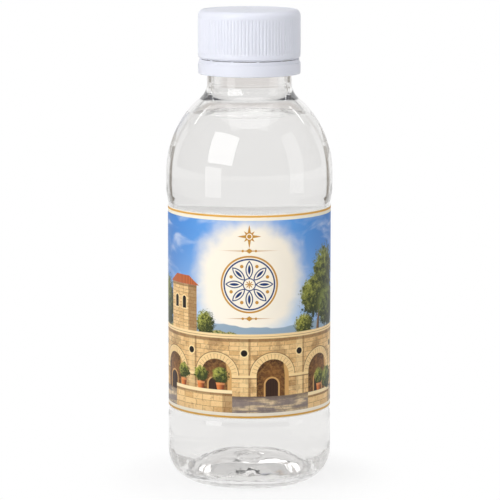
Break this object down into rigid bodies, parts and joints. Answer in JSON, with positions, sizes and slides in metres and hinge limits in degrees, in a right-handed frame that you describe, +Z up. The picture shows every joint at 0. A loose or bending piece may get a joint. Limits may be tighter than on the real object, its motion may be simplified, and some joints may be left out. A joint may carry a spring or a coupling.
{
  "type": "holy water bottle",
  "caption": "Small clear round bottle of water with a wrapped printed label, a ribbed white screw cap and a tamper band on its neck.",
  "frame": {"origin": "middle of the base, on the surface that the bottle stands on", "axes": "+Z up along the bottle's axis; the front of the label faces -Y and its lapped seam is 112.5 degrees round from there, towards +X"},
  "size_m": [0.0492, 0.0492, 0.14],
  "materials": {
    "clear_plastic": "gloss",
    "water": "gloss",
    "label_paper": "satin",
    "closure_plastic": "satin",
    "liner_foam": "matte"
  },
  "bodies": {
    "bottle": {"bottle": "clear_plastic", "water": "water", "label": "label_paper"},
    "band": {"tamper_band": "closure_plastic"},
    "liner": {"cap_liner": "liner_foam"},
    "cap": {"cap": "closure_plastic"}
  },
  "joints": [
    {"name": "cap_rise", "type": "slide", "parent": "bottle", "child": "liner", "axis": [0, 0, 1], "range_m": [0, 0.0128]},
    {"name": "cap_unscrew", "type": "hinge", "parent": "liner", "child": "cap", "pos_m": [0, 0, 0.1258], "axis": [0, 0, 1], "range_deg": [0, 1440]},
    {"name": "band_drop", "type": "slide", "parent": "bottle", "child": "band", "axis": [0, 0, 1], "range_m": [-0.0064, 0]}
  ],
  "couplings": [
    {"joint": "cap_rise", "follows": "cap_unscrew", "m_per_rad": 0.00050611}
  ]
}
